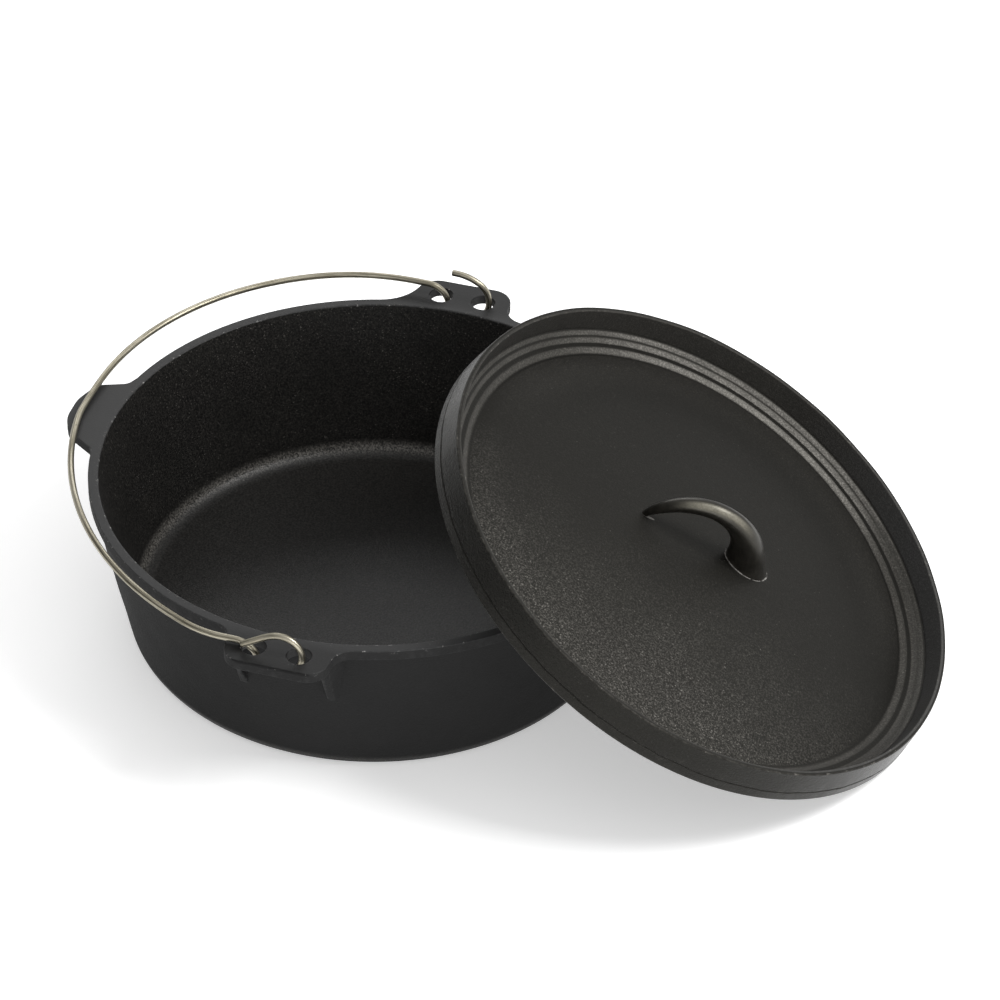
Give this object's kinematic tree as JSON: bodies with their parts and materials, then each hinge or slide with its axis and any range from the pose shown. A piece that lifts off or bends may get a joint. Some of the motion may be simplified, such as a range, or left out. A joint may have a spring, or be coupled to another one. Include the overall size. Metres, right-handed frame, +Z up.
{
  "type": "camp dutch oven",
  "caption": "Flat-bottomed cast-iron camp dutch oven with pierced ears, a plain tab, a hooked wire bail and a lipped lid with an arch handle, the lid leaning on the rim.",
  "frame": {"origin": "centre of the pot's flat base, on the ground", "axes": "+Z up; +Y through the far ear, so that the ears lie on the Y axis; the plain tab points to -X and the lid leans on the rim at +X"},
  "size_m": [0.4939, 0.3531, 0.1762],
  "materials": {
    "seasoned_iron": "seasoned, fine pebble grain, satin",
    "wire": "warm satin plating"
  },
  "bodies": {
    "pot": {"pot": "seasoned_iron"},
    "lid": {"lid": "seasoned_iron"},
    "bail": {"bail": "wire"}
  },
  "joints": [
    {"name": "bail_swing", "type": "hinge", "parent": "pot", "child": "bail", "pos_m": [-0.0025, 0, 0.09575], "axis": [0, 1, 0], "range_deg": [0, 120]},
    {"name": "lid_lift", "type": "slide", "parent": "pot", "child": "lid", "axis": [0.5147, 0.018, 0.8572], "range_m": [0, 0.25]}
  ]
}
